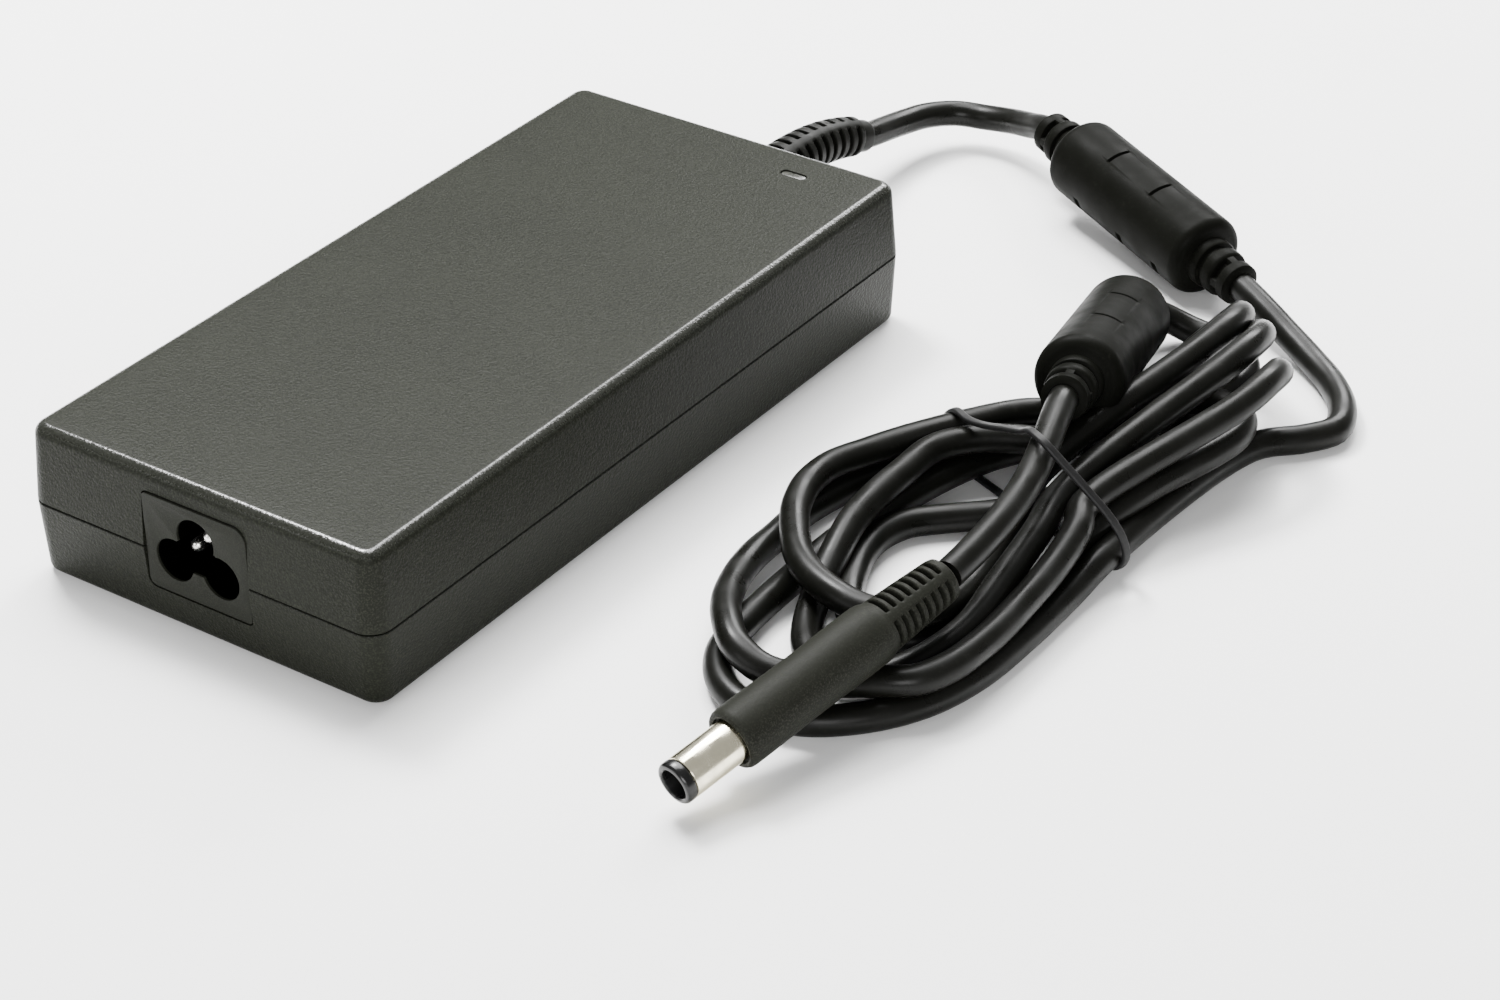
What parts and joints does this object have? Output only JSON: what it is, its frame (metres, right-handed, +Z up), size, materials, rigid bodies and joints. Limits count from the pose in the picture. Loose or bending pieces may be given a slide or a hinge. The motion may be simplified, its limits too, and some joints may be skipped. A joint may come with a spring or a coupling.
{
  "type": "laptop power adapter",
  "caption": "Slim rectangular power brick with a three-pole AC inlet and a fixed DC output cord, tied in a hank, ending in a round barrel plug.",
  "frame": {"origin": "centre of the case's underside, on the surface it stands on", "axes": "+Y along the case's length towards the output cord, +X across the case, +Z up; the AC inlet faces -Y"},
  "size_m": [0.1673, 0.2269, 0.0291],
  "materials": {
    "case_plastic": "fine spark-eroded grain, charcoal with a slight olive cast",
    "inlet_plastic": "fine grain, near-black moulded thermoset",
    "label_sheet": "blank silver-grey film",
    "lens": "smoky translucent light guide, flush and dark when off",
    "led_epoxy": "clear epoxy",
    "pin_metal": "nickel plated",
    "insulation": "white insulating film",
    "board": "green solder mask",
    "sheet_metal": "mill finish",
    "fuse_body": "black sleeve",
    "film": "yellow film capacitor case",
    "ferrite": "sintered dark grey",
    "epoxy": "moulded epoxy",
    "capacitor_sleeve": "heat-shrunk sleeve",
    "winding": "enamelled copper wire under tape",
    "cord_jacket": "smooth satin jacket",
    "overmould": "satin moulded over the cord",
    "tie": "thin black band",
    "barrel_metal": "nickel plated with a warm tone",
    "contact_metal": "spring contact",
    "tip_plastic": "black insulator"
  },
  "bodies": {
    "root": {"top_shell": "case_plastic", "bottom_shell": "case_plastic", "ac_inlet_body": "inlet_plastic", "rating_label": "label_sheet", "led_window": "lens", "status_led": "led_epoxy", "inlet_pin_live": "pin_metal", "inlet_pin_neutral": "pin_metal", "inlet_pin_earth": "pin_metal", "plug_centre_pin": "pin_metal", "insulating_sheet": "insulation", "circuit_board": "board", "control_board": "board", "heat_spreader": "sheet_metal", "primary_heat_sink": "sheet_metal", "secondary_heat_sink": "sheet_metal", "fuse": "fuse_body", "x_capacitor": "film", "y_capacitor": "film", "common_mode_choke": "ferrite", "pfc_inductor": "ferrite", "transformer_core": "ferrite", "output_choke": "ferrite", "ferrite_core_near": "ferrite", "ferrite_core_far": "ferrite", "bridge_rectifier": "epoxy", "switching_transistor": "epoxy", "optocoupler": "epoxy", "output_rectifier": "epoxy", "bulk_capacitor": "capacitor_sleeve", "output_capacitor_1": "capacitor_sleeve", "output_capacitor_2": "capacitor_sleeve", "output_capacitor_3": "capacitor_sleeve", "transformer_winding": "winding", "output_wire_positive": "cord_jacket", "output_wire_negative": "cord_jacket", "cord_lead": "cord_jacket", "cord_hank": "cord_jacket", "cord_tail": "cord_jacket", "strain_relief": "overmould", "ferrite_cover_near": "overmould", "ferrite_cover_far": "overmould", "plug_grip": "overmould", "cord_tie": "tie", "plug_barrel": "barrel_metal", "plug_inner_contact": "contact_metal", "plug_tip_ring": "tip_plastic"}
  },
  "joints": []
}
